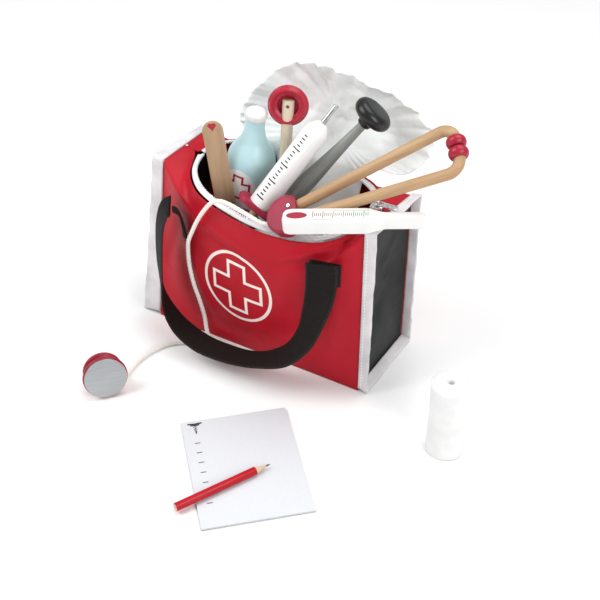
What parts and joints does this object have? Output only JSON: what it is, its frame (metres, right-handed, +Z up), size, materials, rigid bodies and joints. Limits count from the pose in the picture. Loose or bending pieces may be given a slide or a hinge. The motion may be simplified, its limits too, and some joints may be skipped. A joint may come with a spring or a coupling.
{
  "type": "toy doctor case",
  "caption": "Open soft toy doctor's bag with carry handles, holding toy instruments and a cloth cap, with a stethoscope over its rim and a note pad, pencil and bandage in front.",
  "frame": {"origin": "middle of the bag's footprint, on the floor", "axes": "+X to the bag's right end along its width, -Y to its front face, +Z up"},
  "size_m": [0.3522, 0.3272, 0.2514],
  "materials": {
    "red_vinyl": "semi-gloss",
    "charcoal_vinyl": "satin",
    "seam_ribbon": "satin",
    "zipper_tape": "matt",
    "zipper_teeth": "satin",
    "zipper_metal": "satin",
    "black_webbing": "matt",
    "cap_cloth": "matt",
    "plain_wood": "satin",
    "cream_wood": "satin",
    "blue_painted_wood": "gloss paint",
    "white_painted_wood": "satin paint",
    "grey_painted_wood": "satin paint",
    "black_painted_wood": "gloss paint",
    "crimson_painted_wood": "satin paint",
    "red_painted_wood": "gloss paint",
    "steel": "satin",
    "aluminium": "satin",
    "label_paper": "matt",
    "white_cord": "matt",
    "silver_board": "satin",
    "pad_paper": "matt",
    "pad_card": "matt",
    "graphite": "matt",
    "gauze": "matt"
  },
  "bodies": {
    "bag": {"front_panel": "red_vinyl", "back_panel": "red_vinyl", "left_gusset": "charcoal_vinyl", "right_gusset": "charcoal_vinyl", "bag_bottom": "charcoal_vinyl", "left_binding": "seam_ribbon", "right_binding": "seam_ribbon", "zipper_tape_front": "zipper_tape", "zipper_tape_back": "zipper_tape", "zipper_teeth_front": "zipper_teeth", "zipper_teeth_back": "zipper_teeth", "zipper_slider": "zipper_metal", "front_handle_tabs": "black_webbing", "back_handle_tabs": "black_webbing", "surgical_cap": "cap_cloth", "stethoscope_block": "crimson_painted_wood", "stethoscope_pins": "steel", "stethoscope_cord": "white_cord", "chest_spool": "red_painted_wood", "chest_disc": "silver_board"},
    "front_handle": {"front_handle_strap": "black_webbing"},
    "back_handle": {"back_handle_strap": "black_webbing"},
    "zipper_pull": {"zipper_pull": "zipper_metal"},
    "arm_back": {"stethoscope_arm_back": "plain_wood", "ear_tip_back": "red_painted_wood"},
    "arm_front": {"stethoscope_arm_front": "plain_wood", "ear_tip_front": "red_painted_wood"},
    "depressor": {"tongue_depressor": "plain_wood"},
    "bottle": {"bottle_body": "blue_painted_wood", "bottle_stopper": "white_painted_wood", "bottle_label": "label_paper"},
    "syringe": {"syringe_barrel": "white_painted_wood", "syringe_flange": "crimson_painted_wood", "syringe_needle": "aluminium"},
    "plunger": {"syringe_rod": "plain_wood", "syringe_knob": "crimson_painted_wood"},
    "hammer": {"hammer_handle": "grey_painted_wood", "hammer_collar": "black_painted_wood", "hammer_head": "black_painted_wood"},
    "otoscope": {"otoscope_handle": "cream_wood", "otoscope_ring": "red_painted_wood"},
    "thermometer": {"thermometer": "white_painted_wood"},
    "pad": {"pad_sheets": "pad_paper", "pad_board": "pad_card"},
    "pencil": {"pencil_body": "red_painted_wood", "pencil_point": "plain_wood", "pencil_lead": "graphite"},
    "bandage_roll": {"bandage_roll": "gauze"}
  },
  "joints": [
    {"name": "front_handle_swing", "type": "hinge", "parent": "bag", "child": "front_handle", "pos_m": [0.08, -0.0528, 0.1325], "axis": [-0.9979, -0.0177, 0.0624], "range_deg": [0, 125]},
    {"name": "back_handle_swing", "type": "hinge", "parent": "bag", "child": "back_handle", "pos_m": [0, 0.0595, 0.1345], "axis": [1, 0, 0], "range_deg": [0, 140]},
    {"name": "zipper_pull_tip", "type": "hinge", "parent": "bag", "child": "zipper_pull", "pos_m": [0.102, 0.003, 0.1692], "axis": [0, -1, 0], "range_deg": [0, 90]},
    {"name": "arm_back_spread", "type": "hinge", "parent": "bag", "child": "arm_back", "pos_m": [0.04192, -0.03552, 0.16552], "axis": [-0.1971, -0.6606, 0.7244], "range_deg": [0, 8]},
    {"name": "arm_front_spread", "type": "hinge", "parent": "bag", "child": "arm_front", "pos_m": [0.04779, -0.04278, 0.16049], "axis": [0.1971, 0.6606, -0.7244], "range_deg": [0, 1.5]},
    {"name": "depressor_lift", "type": "slide", "parent": "bag", "child": "depressor", "axis": [-0.1289, -0.014, 0.9916], "range_m": [0, 0.1]},
    {"name": "bottle_lift", "type": "slide", "parent": "bag", "child": "bottle", "axis": [-0.139, 0, 0.9903], "range_m": [0, 0.022]},
    {"name": "syringe_lift", "type": "slide", "parent": "bag", "child": "syringe", "axis": [0.258, 0.446, 0.857], "range_m": [0, 0.055]},
    {"name": "plunger_slide", "type": "slide", "parent": "syringe", "child": "plunger", "axis": [-0.4101, -0.4791, -0.7761], "range_m": [-0.006, 0.012]},
    {"name": "hammer_lift", "type": "slide", "parent": "bag", "child": "hammer", "axis": [0.6429, 0, 0.7659], "range_m": [0, 0.055]},
    {"name": "otoscope_lift", "type": "slide", "parent": "bag", "child": "otoscope", "axis": [0, 0, 1], "range_m": [0, 0.065]},
    {"name": "thermometer_lift", "type": "slide", "parent": "bag", "child": "thermometer", "axis": [-0.1971, -0.6606, 0.7244], "range_m": [0, 0.06]},
    {"name": "pad_lift", "type": "slide", "parent": "bag", "child": "pad", "axis": [0, 0, 1], "range_m": [0, 0.05]},
    {"name": "pencil_lift", "type": "slide", "parent": "pad", "child": "pencil", "axis": [0, 0, 1], "range_m": [0, 0.05]},
    {"name": "bandage_lift", "type": "slide", "parent": "bag", "child": "bandage_roll", "axis": [0, 0, 1], "range_m": [0, 0.08]}
  ]
}
